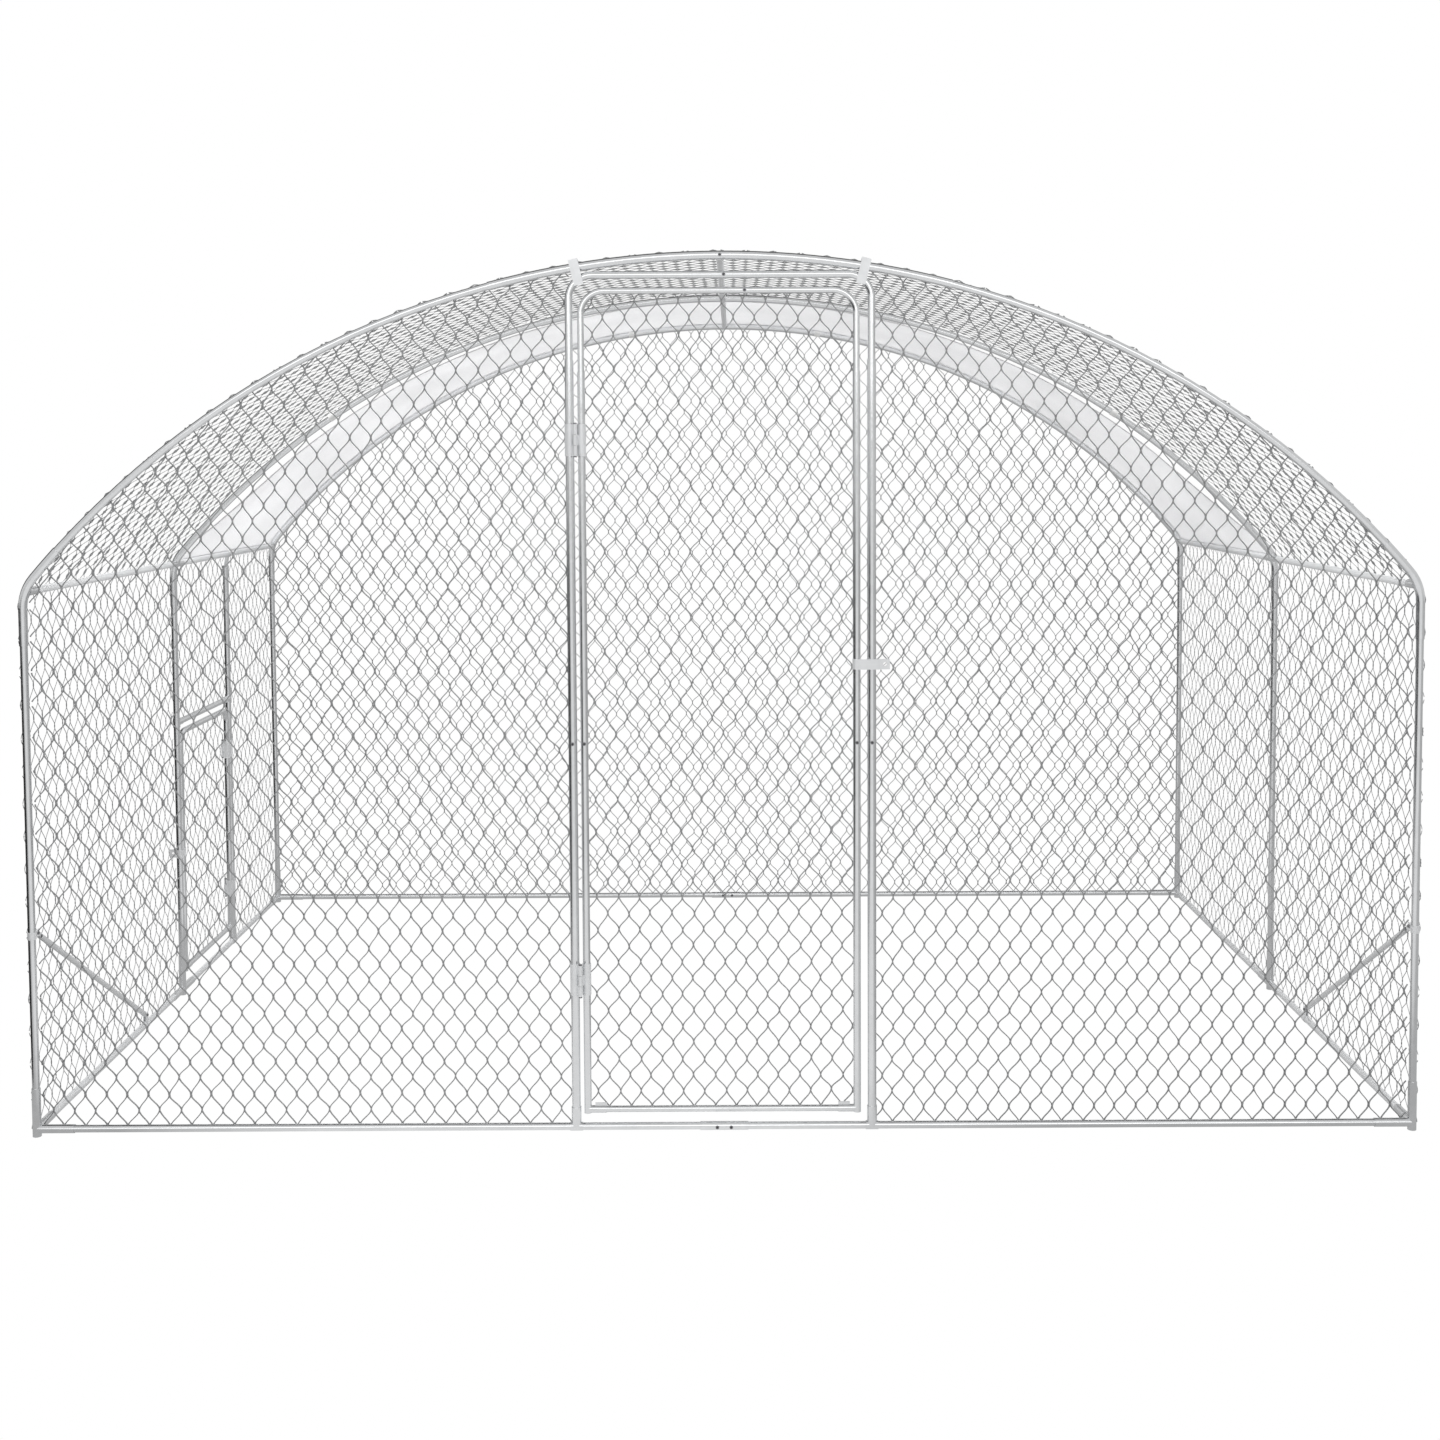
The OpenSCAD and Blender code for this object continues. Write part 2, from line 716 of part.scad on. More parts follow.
module side_door_bow() {
    color(steel) on_left_wall(side_latch_stile_y, side_leaf_bottom)
        bow(0, side_leaf_width, elbow_top, side_leaf_top - side_leaf_bottom, side_bow_radius, tube_od, tube_bore);
}

module side_door_elbows() {
    color(steel) on_left_wall(side_latch_stile_y, side_leaf_bottom) {
        leaf_elbow();
        translate([side_leaf_width, 0, 0]) mirror([1, 0, 0]) leaf_elbow();
    }
}

module side_door_bottom_rail() {
    color(steel) on_left_wall(side_latch_stile_y, side_leaf_bottom) leaf_rail(side_leaf_width);
}

side_post_foot = jamb_foot;
side_post_top = bend_z;
side_web_start = side_post_top - collar_length / 2;
side_web = [half_span - eave_x, eave_z - side_web_start];

module side_door_post() {
    color(steel) translate([-half_span, side_post_y, side_post_foot])
        pipe(tube_od, tube_bore, side_post_top - side_post_foot);
}

module side_door_header() {
    start = stub_stop + seat_gap;
    color(steel) translate([-half_span, start, side_header_height])
        along_y() pipe(tube_od, tube_bore, side_post_y - 2 * start);
}

// Collar round an upright tube, with a stub along +X for the header's end
module header_collar() {
    difference() {
        union() {
            translate([0, 0, -collar_length / 2]) cylinder(d = socket_od, h = collar_length);
            along_x() cylinder(d = socket_od, h = stub_stop + collar_length);
        }
        translate([0, 0, -collar_length]) cylinder(d = socket_bore, h = 2 * collar_length);
        translate([stub_stop, 0, 0]) along_x() cylinder(d = socket_bore, h = 2 * collar_length);
    }
}

module side_door_fittings() {
    color(steel) {
        on_left_wall(0, side_header_height) header_collar();
        on_left_wall(side_post_y, side_header_height) mirror([1, 0, 0]) header_collar();
        on_left_wall(side_post_y, rail_height) difference() {
            union() {
                cylinder(d = socket_od, h = socket_r + collar_length);
                translate([-collar_length / 2, 0, 0]) along_x() cylinder(d = socket_od, h = collar_length);
            }
            translate([0, 0, side_post_foot - rail_height - seat_gap])
                cylinder(d = socket_bore, h = 2 * collar_length);
            translate([-collar_length, 0, 0]) along_x() cylinder(d = socket_bore, h = 2 * collar_length);
        }
        difference() {
            union() {
                translate([-half_span, side_post_y, side_post_top - collar_length])
                    cylinder(d = socket_od, h = collar_length);
                translate([-eave_x, side_post_y - collar_length / 2, eave_z])
                    along_y() cylinder(d = socket_od, h = collar_length);
                translate([-half_span, side_post_y, side_web_start])
                    rotate([0, -atan2(side_web.y, side_web.x), 0]) translate([0, -socket_r / 2, -socket_r / 2])
                        cube([norm(side_web), socket_r, socket_r]);
            }
            translate([-half_span, side_post_y, side_post_top - 2 * collar_length])
                cylinder(d = socket_bore, h = 2 * collar_length + seat_gap);
            translate([-eave_x, side_post_y - collar_length, eave_z])
                along_y() cylinder(d = socket_bore, h = 2 * collar_length);
        }
    }
}

// Side latch: two ears that stand out beside each other. Drawn with +X towards the leg and +Y outwards.
module on_side_stile() {
    translate([-half_span, side_latch_stile_y, side_latch_height - latch_plate / 2])
        rotate([0, 0, 90]) mirror([1, 0, 0]) children();
}

module side_padlock_hole() {
    translate([0, side_padlock_reach, latch_plate / 2]) along_x() cylinder(d = padlock_d, h = 2 * side_stile_gap);
}

module side_latch_keeper() {
    color(steel) on_side_stile() difference() {
        linear_extrude(latch_plate) difference() {
            union() {
                translate([side_stile_gap, 0]) circle(r = tube_band_r);
                translate([side_hasp_ear + latch_thick + side_ear_gap, 0])
                    square([latch_thick, side_ear_reach + latch_thick]);
            }
            translate([side_stile_gap, 0]) circle(r = tube_r + slip);
        }
        side_padlock_hole();
    }
}

module side_latch_hasp() {
    color(steel) on_side_stile() difference() {
        linear_extrude(latch_plate) difference() {
            union() {
                circle(r = tube_r + running_fit + band_thick);
                translate([seat_gap, 0]) square([tube_r * 0.8, side_arm_reach + latch_thick]);
                translate([seat_gap, side_arm_reach])
                    square([side_hasp_ear + latch_thick - seat_gap, latch_thick]);
                translate([side_hasp_ear, side_arm_reach])
                    square([latch_thick, side_ear_reach + latch_thick - side_arm_reach]);
            }
            circle(r = tube_r + running_fit);
        }
        side_padlock_hole();
    }
}

// Screws and bolts of the frame

module brace_bolt() {
    grip = ear_inner + band_thick + slip;
    translate([-grip, 0, 0]) along_x() cylinder(d = screw_d, h = 2 * grip);
    for (x = [grip, -grip - screw_head])
        translate([x, 0, 0]) along_x() cylinder(d = screw_head_d, h = screw_head, $fn = 6);
}

module frame_screws() {
    color(dark_steel) {
        for (y = [-bay, bay]) sleeve_screws(y) screw(screw_depth);
        both_sides() on_front(jamb_offset, -bay, post_screw_height, socket_r) screw(screw_depth);
        on_front(header_screw_x, -bay, header_height, tube_r) screw(screw_depth);
        on_front(0, -bay, crown_height, socket_r) screw(0);
        both_sides() for (p = [brace_front, brace_foot]) translate([half_span, p.x, p.y]) brace_bolt();
    }
}

// Netting

function hexagon(w, r, t) = [[w, t], [0, 2 * r - t], [-w, t], [-w, -t], [0, t - 2 * r], [w, -t]] / 2;
gap_scale = 1 - net_strand / net_cell;
gap_outline = gap_scale * hexagon(net_cell, net_row, net_twist);

// Gaps of a flat net over the rectangle from low to high, with the twists upright
module flat_gaps(low, high) {
    columns = ceil((high.x - low.x) / net_cell);
    rows = ceil((high.y - low.y) / net_row);
    for (j = [0 : rows], i = [0 : columns])
        translate(low + [(i + (j % 2) / 2) * net_cell, j * net_row]) polygon(gap_outline);
}

// Flat net with straight edges
module flat_net(low, high) {
    rim = [net_strand, net_strand];
    linear_extrude(net_thick) difference() {
        translate(low) square(high - low);
        intersection() {
            translate(low + rim) square(high - low - 2 * rim);
            flat_gaps(low, high);
        }
    }
}

// Outline of the hoop's inside from x0 to x1, held back from its edges
module hoop_outline(x0, x1, rim) {
    intersection() {
        translate([x0 + rim, rail_height + rim]) square([x1 - x0 - 2 * rim, crown_height]);
        translate([0, arch_z]) circle(r = arch_radius - rim, $fn = arc_fn);
    }
}

module hoop_net(x0, x1) {
    linear_extrude(net_thick) difference() {
        hoop_outline(x0, x1, 0);
        intersection() {
            hoop_outline(x0, x1, net_strand);
            flat_gaps([x0, rail_height], [x1, crown_height]);
        }
        children();
    }
}

module front_net() {
    translate([0, -bay + end_net_y + net_thick, 0]) rotate([90, 0, 0])
        hoop_net(jamb_offset, half_span - net_edge)
            translate([eave_x, eave_z]) circle(d = socket_od + 2 * seat_gap);
}

module front_net_right() { color(wire) front_net(); }
module front_net_left() { color(wire) mirror([1, 0, 0]) front_net(); }

module rear_net() {
    color(wire) translate([0, rear_net_y + net_thick, 0]) rotate([90, 0, 0]) hoop_net(-half_span, half_span);
}

// Places a flat net on a side wall: drawn along Y and Z, and standing outwards from the tubes
module on_side_net() { translate([side_net_x, 0, 0]) rotate([90, 0, 90]) children(); }

module right_net() {
    color(wire) on_side_net() {
        flat_net([-bay, rail_height], [-seat_gap, bend_z]);
        flat_net([0, rail_height], [bay, cover_edge_z]);
    }
}

module left_net() {
    color(wire) mirror([1, 0, 0]) on_side_net() {
        flat_net([-bay, rail_height], [-net_edge, bend_z]);
        flat_net([0, side_header_height], [side_post_y - seat_gap, cover_edge_z]);
        flat_net([side_post_y, rail_height], [bay, cover_edge_z]);
    }
}

// Leaf outline from low to high with rounded top corners
module leaf_outline(low, high, radius) {
    translate(low) square([high.x - low.x, high.y - low.y - radius]);
    translate(low + [radius, 0]) square([high.x - low.x - 2 * radius, high.y - low.y]);
    for (x = [low.x + radius, high.x - radius]) translate([x, high.y - radius]) circle(r = radius);
}

module leaf_net(low, high, radius) {
    rim = [net_strand, net_strand];
    linear_extrude(net_thick) difference() {
        leaf_outline(low, high, radius);
        intersection() {
            leaf_outline(low + rim, high - rim, radius - net_strand);
            flat_gaps(low, high);
        }
    }
}

module door_net() {
    color(wire) translate([0, -bay + leaf_net_gap + net_thick, 0]) rotate([90, 0, 0])
        leaf_net([-hinge_stile_offset, door_bottom], [latch_stile_offset, door_top], bow_radius);
}

module side_door_net() {
    color(wire) translate([-half_span - leaf_net_gap - net_thick, 0, 0]) rotate([90, 0, 90])
        leaf_net([side_latch_stile_y + tube_band_r + 2 * latch_thick, side_leaf_bottom],
            [side_hinge_stile_y, side_leaf_top], side_bow_radius);
}

// Part of a ring between two angles from upright
module sector(inner, thick, from, to) {
    reach = 3 * (inner + thick);
    intersection() {
        difference() {
            circle(r = inner + thick, $fn = arc_fn);
            circle(r = inner, $fn = arc_fn);
        }
        polygon([[0, 0], reach * [sin(from), cos(from)], reach * [sin(to), cos(to)]]);
    }
}

// Sheet over the hoops from y0 to y1, at a gap outside their centreline and down the eaves to wrap
module roof_sheet(y0, y1, gap, thick, wrap) {
    translate([0, y1, 0]) rotate([90, 0, 0]) linear_extrude(y1 - y0) {
        translate([0, arch_z]) sector(arch_radius + gap, thick, -bend_angle, bend_angle);
        for (side = [0, 1]) mirror([side, 0]) translate([bend_x, bend_z])
            sector(bend_radius + gap - bend_swell / 2, thick + bend_swell, bend_angle - seam_angle, bend_angle + wrap);
    }
}

// Gaps of a roof net, with the twists along the arch
module roof_gaps(y0, y1) {
    radius = arch_radius + roof_gap;
    half_arc = radius * bend_angle * PI / 180;
    rows = floor(half_arc / net_row);
    columns = ceil((y1 - y0) / net_cell);
    for (j = [-rows : rows], i = [0 : columns]) {
        y = y0 + (i + abs(j % 2) / 2) * net_cell;
        u = j * net_row;
        translate([0, 0, arch_z]) rotate([0, u / radius * 180 / PI, 0])
            translate([0, 0, radius - net_row]) linear_extrude(2 * net_row) intersection() {
                translate([0, y]) rotate(90) polygon(gap_outline);
                translate([-half_arc + net_strand - u, y0 + net_strand])
                    square([2 * (half_arc - net_strand), y1 - y0 - 2 * net_strand]);
            }
    }
}

module roof_net(y0, y1) {
    difference() {
        roof_sheet(y0, y1, roof_gap, net_thick, 90 - bend_angle);
        roof_gaps(y0, y1);
    }
}

module roof_net_front() { color(wire) roof_net(roof_net_front_edge, -seat_gap); }

// Cover

module roof_cover() {
    color(sheet) difference() {
        roof_sheet(seat_gap, bay + socket_r, cover_gap, cover_thick, cover_wrap);
        both_sides() linear_extrude(2 * crown_height) {
            for (x = cutout_centres) translate([x, 0]) circle(r = cover_setback, $fn = arc_fn);
            translate([cutout_centres[0], -cover_setback])
                square([cutout_centres[1] - cutout_centres[0], 2 * cover_setback]);
        }
    }
}

// Tie round an arch tube, open on top under the netting
module cover_tie(angle, y, od) {
    inner = od / 2 + slip;
    outer = inner + band_thick;
    translate([0, y, arch_z]) rotate([0, angle, 0]) translate([-tie_width / 2, 0, arch_radius]) intersection() {
        along_x() pipe(2 * outer, 2 * inner, tie_width);
        translate([-cut, -outer - cut, -outer - cut]) cube([tie_width + 2 * cut, 2 * (outer + cut), 1.8 * outer]);
    }
}

module cover_ties() {
    color(tie_white) both_sides() {
        cover_tie(front_tie_angle, 0, tube_od);
        cover_tie(rear_tie_angle, bay, socket_od);
    }
}

front_legs();
mid_legs();
rear_legs();
front_bends();
mid_bends();
rear_bends();
front_side_arches();
mid_side_arches();
rear_side_arches();
front_crown();
mid_crown();
rear_crown();
eave_tubes();
ridge_tubes();
joint_sleeves();
front_base_rails();
rear_base_rails();
side_base_rails();
base_corners();
base_tees();
door_jambs();
jamb_tees();
door_header_bow();
header_straps();
corner_braces();
brace_clamps();
door_hinge_frame_leaves();
door_hinge_pins();
door_latch_keeper();
side_door_post();
side_door_header();
side_door_fittings();
side_hinge_frame_leaves();
side_hinge_pins();
side_latch_keeper();
front_net_left();
front_net_right();
rear_net();
left_net();
right_net();
roof_net_front();
roof_cover();
cover_ties();
frame_screws();
door_stiles();
door_top_bow();
door_elbows();
door_bottom_rail();
door_hinge_leaves();
door_net();
door_screws();
door_latch_hasp();
side_door_bow();
side_door_elbows();
side_door_bottom_rail();
side_door_net();
side_hinge_door_leaves();
side_latch_hasp();
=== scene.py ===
"""Dresses the walk-in poultry run: wire netting, the cover sheet, galvanised finishes, light and camera."""

import json
import math

import bpy
import numpy as np
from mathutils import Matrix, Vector


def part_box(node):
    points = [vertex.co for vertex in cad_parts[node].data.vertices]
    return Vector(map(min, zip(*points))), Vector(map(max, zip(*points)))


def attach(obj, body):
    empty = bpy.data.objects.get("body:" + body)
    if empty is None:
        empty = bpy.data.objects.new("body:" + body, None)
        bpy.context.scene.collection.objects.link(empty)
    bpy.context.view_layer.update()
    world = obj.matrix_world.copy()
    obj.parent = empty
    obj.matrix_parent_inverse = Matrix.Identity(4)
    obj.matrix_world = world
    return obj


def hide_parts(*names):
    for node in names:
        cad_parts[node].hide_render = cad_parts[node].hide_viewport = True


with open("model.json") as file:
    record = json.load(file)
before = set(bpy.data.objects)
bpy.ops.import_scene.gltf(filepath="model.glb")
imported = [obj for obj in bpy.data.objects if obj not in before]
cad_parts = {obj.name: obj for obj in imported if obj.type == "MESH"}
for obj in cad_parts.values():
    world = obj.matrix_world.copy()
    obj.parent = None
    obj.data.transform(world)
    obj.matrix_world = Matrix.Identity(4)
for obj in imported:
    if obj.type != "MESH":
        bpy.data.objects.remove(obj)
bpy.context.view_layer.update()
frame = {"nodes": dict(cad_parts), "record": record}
NODES = frame["nodes"]

# Sizes of the frame that the soft pieces follow, in metres
HALF_SPAN = 1.490
BAY = 1.000
CROWN_HEIGHT = 1.888
ARCH_RADIUS = 1.930
BEND_RADIUS = 0.100
SOCKET_RADIUS = 0.00935
TUBE_RADIUS = 0.008
PLUG_RADIUS = 0.00685
RAIL_HEIGHT = 0.016
JAMB_OFFSET = 0.320
HINGE_STILE_X = -0.295
LATCH_STILE_X = 0.288
DOOR_CORNER = 0.050
SIDE_LEAF_CORNER = 0.040
HEADER_Z = 1.847
DOOR_TOP_Z = 1.814
SEAT_GAP = 0.0003

ARCH_Z = CROWN_HEIGHT - ARCH_RADIUS
BEND_X = HALF_SPAN - BEND_RADIUS
BEND_Z = ARCH_Z + math.sqrt((ARCH_RADIUS - BEND_RADIUS) ** 2 - BEND_X ** 2)
BEND_ANGLE = math.asin(BEND_X / (ARCH_RADIUS - BEND_RADIUS))

# Netting
WALL_CELL, WALL_ROW, WALL_TWIST = 0.046, 0.0355, 0.012
ROOF_CELL, ROOF_ROW, ROOF_TWIST = 0.052, 0.0285, 0.012
# Radius of the wire between the twists, and in them
FRONT_WIRE = (0.00155, 0.00180)
ROOF_WIRE = (0.00062, 0.00150)
REAR_WIRE = (0.00130, 0.00140)
SIDE_WIRE = (0.00072, 0.00076)
WIRE_SIDES = 4
NODE_JITTER = 0.0010
CURVE_STEPS = 4
# Share of a wire's crossing between two twists that follows a soft bow, the rest being straight
CROSSING_BOW = 0.3
SHORTEST_STEP = 0.0005
HALVINGS = 8
NET_EDGE = SOCKET_RADIUS + SEAT_GAP
NET_STANDOFF = 0.001
NET_GAP = NET_EDGE + NET_STANDOFF
NET_PARTING = 0.001
WALL_TOP_ANGLE = math.radians(14.5)
WALL_TOP = BEND_Z + (BEND_RADIUS + NET_GAP) * WALL_TOP_ANGLE

# Photograph and camera
PHOTO_SIZE = 1440
FOCAL_PIXELS = 1741
SENSOR = 36.0
AXIS_PIXEL = (733.5, 554.8)
CAMERA_PLACE = (0.027, -4.700, 1.459)
CAMERA_PITCH = math.radians(-3.16)
CAMERA_ROLL = math.radians(0.29)

# Light
COVER_TRANSLUCENCY = 0.80
FLOOR_SIZE = 60
FLOOR_DROP = 0.0005
FLOOR_GLOW = 0.78
ROOM_GLOW = 0.80
# Uneven light: where directions are taken from, a direction, the two cosines between which the light changes,
# and its shares before and after
ROOM_LIGHT = (
    ((0, 0, 0), (-0.80, 0.40, 0.45), 0.84, 0.95, 1.0, 0.08),
    ((0, 0, 0), (-0.05, 0.50, 0.865), 0.80, 0.93, 1.0, 0.12),
)
FLOOR_LIGHT = (
    ((-1.75, -1.3, 0), (-0.996, 0.087, 0.0), 0.40, 0.62, 1.0, 0.05),
    ((-0.6, 0.3, 0), (0.139, -0.99, 0.0), 0.80, 0.94, 0.58, 1.0),
)

# The middle stretch of a noise texture, which is spread over a range of colour or roughness
NOISE_LOW, NOISE_HIGH = 0.3, 0.7

random = np.random.RandomState(seed=7)


# Materials

def new_material(name):
    material = bpy.data.materials.new(name)
    material.use_nodes = True
    nodes = material.node_tree.nodes
    nodes.clear()
    output = nodes.new("ShaderNodeOutputMaterial")
    shader = nodes.new("ShaderNodeBsdfPrincipled")
    material.node_tree.links.new(shader.outputs["BSDF"], output.inputs["Surface"])
    return material, nodes, material.node_tree.links, shader


def object_noise(nodes, links, scale, detail=4.0):
    place = nodes.new("ShaderNodeTexCoord")
    noise = nodes.new("ShaderNodeTexNoise")
    noise.inputs["Scale"].default_value = scale
    noise.inputs["Detail"].default_value = detail
    links.new(place.outputs["Object"], noise.inputs["Vector"])
    return noise.outputs["Fac"]


def ramp(nodes, links, source, low, high, start=NOISE_LOW, end=NOISE_HIGH):
    node = nodes.new("ShaderNodeValToRGB")
    node.color_ramp.elements[0].position = start
    node.color_ramp.elements[0].color = (*low, 1)
    node.color_ramp.elements[1].position = end
    node.color_ramp.elements[1].color = (*high, 1)
    links.new(source, node.inputs["Fac"])
    return node.outputs["Color"]


def spread(nodes, links, source, low, high):
    node = nodes.new("ShaderNodeMapRange")
    node.inputs["From Min"].default_value = NOISE_LOW
    node.inputs["From Max"].default_value = NOISE_HIGH
    node.inputs["To Min"].default_value = low
    node.inputs["To Max"].default_value = high
    links.new(source, node.inputs["Value"])
    return node.outputs["Result"]


def bump(nodes, links, source, shader, strength, distance):
    node = nodes.new("ShaderNodeBump")
    node.inputs["Strength"].default_value = strength
    node.inputs["Distance"].default_value = distance
    links.new(source, node.inputs["Height"])
    links.new(node.outputs["Normal"], shader.inputs["Normal"])


def galvanised(name, low, high, metallic, rough, grain=90.0):
    """Zinc coat: crystals a few millimetres wide, cloudy patches and fine drawing marks."""
    material, nodes, links, shader = new_material(name)
    place = nodes.new("ShaderNodeTexCoord")
    crystals = nodes.new("ShaderNodeTexVoronoi")
    crystals.inputs["Scale"].default_value = grain
    links.new(place.outputs["Object"], crystals.inputs["Vector"])
    clouds = object_noise(nodes, links, 7.0)
    mixed = nodes.new("ShaderNodeMix")
    mixed.data_type = "RGBA"
    mixed.inputs["Factor"].default_value = 0.35
    links.new(ramp(nodes, links, clouds, low, high), mixed.inputs["A"])
    links.new(ramp(nodes, links, crystals.outputs["Color"], low, high, 0.1, 0.9), mixed.inputs["B"])
    links.new(mixed.outputs["Result"], shader.inputs["Base Color"])
    links.new(spread(nodes, links, object_noise(nodes, links, 45.0), *rough), shader.inputs["Roughness"])
    shader.inputs["Metallic"].default_value = metallic
    bump(nodes, links, object_noise(nodes, links, 260.0, 2.0), shader, 0.06, 0.0004)
    return material


def cover_cloth(name):
    """Coated woven sheet: a fine tape weave under a matt film."""
    material, nodes, links, shader = new_material(name)
    place = nodes.new("ShaderNodeTexCoord")
    weave = nodes.new("ShaderNodeTexBrick")
    weave.inputs["Scale"].default_value = 1.0
    weave.inputs["Brick Width"].default_value = 0.004
    weave.inputs["Row Height"].default_value = 0.002
    weave.inputs["Mortar Size"].default_value = 0.00025
    weave.inputs["Color1"].default_value = (0.90, 0.90, 0.90, 1)
    weave.inputs["Color2"].default_value = (0.86, 0.86, 0.865, 1)
    weave.inputs["Mortar"].default_value = (0.80, 0.80, 0.81, 1)
    links.new(place.outputs["UV"], weave.inputs["Vector"])
    clouds = ramp(nodes, links, object_noise(nodes, links, 3.0), (0.93, 0.93, 0.93), (1, 1, 1))
    mixed = nodes.new("ShaderNodeMix")
    mixed.data_type = "RGBA"
    mixed.blend_type = "MULTIPLY"
    mixed.inputs["Factor"].default_value = 1.0
    links.new(weave.outputs["Color"], mixed.inputs["A"])
    links.new(clouds, mixed.inputs["B"])
    links.new(mixed.outputs["Result"], shader.inputs["Base Color"])
    links.new(spread(nodes, links, object_noise(nodes, links, 30.0), 0.5, 0.62), shader.inputs["Roughness"])
    bump(nodes, links, weave.outputs["Fac"], shader, 0.15, 0.0004)
    through = nodes.new("ShaderNodeBsdfTranslucent")
    links.new(mixed.outputs["Result"], through.inputs["Color"])
    blend = nodes.new("ShaderNodeMixShader")
    blend.inputs["Fac"].default_value = COVER_TRANSLUCENCY
    links.new(shader.outputs["BSDF"], blend.inputs[1])
    links.new(through.outputs["BSDF"], blend.inputs[2])
    output = next(node for node in nodes if node.type == "OUTPUT_MATERIAL")
    links.new(blend.outputs["Shader"], output.inputs["Surface"])
    return material


def tie_plastic(name):
    material, nodes, links, shader = new_material(name)
    grain = object_noise(nodes, links, 180.0)
    links.new(ramp(nodes, links, grain, (0.88, 0.88, 0.87), (0.95, 0.95, 0.94)), shader.inputs["Base Color"])
    links.new(spread(nodes, links, grain, 0.4, 0.55), shader.inputs["Roughness"])
    return material


# Zinc finishes: darkest and palest colour, metallic share, range of roughness, and crystals per metre
FINISHES = {
    "galvanised_tube": ((0.78, 0.79, 0.80), (0.88, 0.89, 0.90), 1.0, (0.14, 0.22)),
    "galvanised_plate": ((0.78, 0.79, 0.80), (0.88, 0.89, 0.90), 0.4, (0.36, 0.5), 60.0),
    "galvanised_wire": ((0.34, 0.345, 0.35), (0.46, 0.465, 0.47), 0.7, (0.35, 0.5)),
    # Lighter copy of the tube coat for the eave and ridge tubes: painted light for the light they catch from
    # below
    "galvanised_painted_light": ((0.84, 0.85, 0.86), (0.91, 0.92, 0.93), 0.25, (0.36, 0.5)),
    "galvanised_dull": ((0.78, 0.79, 0.80), (0.88, 0.89, 0.90), 0.6, (0.22, 0.32)),
    "zinc_fasteners": ((0.16, 0.16, 0.17), (0.30, 0.30, 0.31), 0.9, (0.3, 0.45)),
    # Near-black bars in the screws' cross recesses: painted shade, not a zinc colour
    "painted_recess_shade": ((0.02, 0.02, 0.02), (0.05, 0.05, 0.05), 0.5, (0.5, 0.7)),
}
MATERIALS = {name: galvanised(name, *finish) for name, finish in FINISHES.items()}
MATERIALS["cover_cloth"] = cover_cloth("cover_cloth")
MATERIALS["tie_plastic"] = tie_plastic("tie_plastic")

for part in frame["record"]["subparts"]:
    for material_slot in NODES[part["node"]].material_slots:
        material_slot.material = MATERIALS[part["material_slot"]]
# Eave and ridge tubes get a lighter, less metallic copy of the tube coat: painted light for the light they
# catch from below. Side rails and braces get a duller coat than the rest
OTHER_FINISHES = {
    "eave_tubes": "galvanised_painted_light",
    "ridge_tubes": "galvanised_painted_light",
    "side_base_rails": "galvanised_dull",
    "corner_braces": "galvanised_dull",
}
for node, finish in OTHER_FINISHES.items():
    for material_slot in NODES[node].material_slots:
        material_slot.material = MATERIALS[finish]


# Mesh helpers

def add_piece(name, points, quads, slot_name, body, smooth=True):
    mesh = bpy.data.meshes.new(name)
    mesh.from_pydata(points, [], quads)
    mesh.validate()
    if smooth:
        mesh.shade_smooth()
    piece = bpy.data.objects.new(name, mesh)
    bpy.context.scene.collection.objects.link(piece)
    mesh.materials.append(MATERIALS[slot_name])
    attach(piece, body)
    return piece


# Netting

def crossing(share):
    """Sideways share of a wire between two twists: it leaves the one and meets the other gently."""
    return (1 - CROSSING_BOW) * share + CROSSING_BOW * (1 - math.cos(math.pi * share)) / 2


def wire_paths(cell, row, twist, wire, low, high):
    """Yields each wire of a net over the box from low to high, as rows of (across, along, out, radius).

    A wire runs along the twists. It is twisted with its neighbour on one side, crosses to the other side,
    and is twisted with the neighbour there.
    """
    columns = int((high[0] - low[0]) / cell) + 3
    rows = int((high[1] - low[1]) / row) + 2
    wander = random.normal(0, NODE_JITTER, (rows, columns + 2, 2))
    index = np.arange(rows)
    odd = index % 2
    for column in range(columns):
        for side in (1, -1):
            at = column + np.where(odd, (side - 1) // 2, 0)
            across = low[0] + (at + 0.5 * odd - 1) * cell + wander[index, at, 0]
            along = low[1] + index * row + wander[index, at, 1]
            facing = np.where(odd, -side, side) * wire[1]
            path = np.zeros((rows, 3 + CURVE_STEPS, 4))
            path[:, :3, 3] = wire[1]
            path[:, 3:, 3] = wire[0]
            path[:, 0, :3] = np.stack([across + facing, along - twist / 2, 0 * along], 1)
            path[:, 1, :3] = np.stack([across, along, np.abs(facing) * side], 1)
            path[:, 2, :3] = np.stack([across + facing, along + twist / 2, 0 * along], 1)
            start, end = path[:-1, 2], path[1:, 0]
            for step in range(1, CURVE_STEPS + 1):
                share = step / (CURVE_STEPS + 1)
                path[:-1, 2 + step, 0] = start[:, 0] + crossing(share) * (end[:, 0] - start[:, 0])
                path[:-1, 2 + step, 1] = start[:, 1] + share * (end[:, 1] - start[:, 1])
            yield path.reshape(-1, 4)[:-CURVE_STEPS]


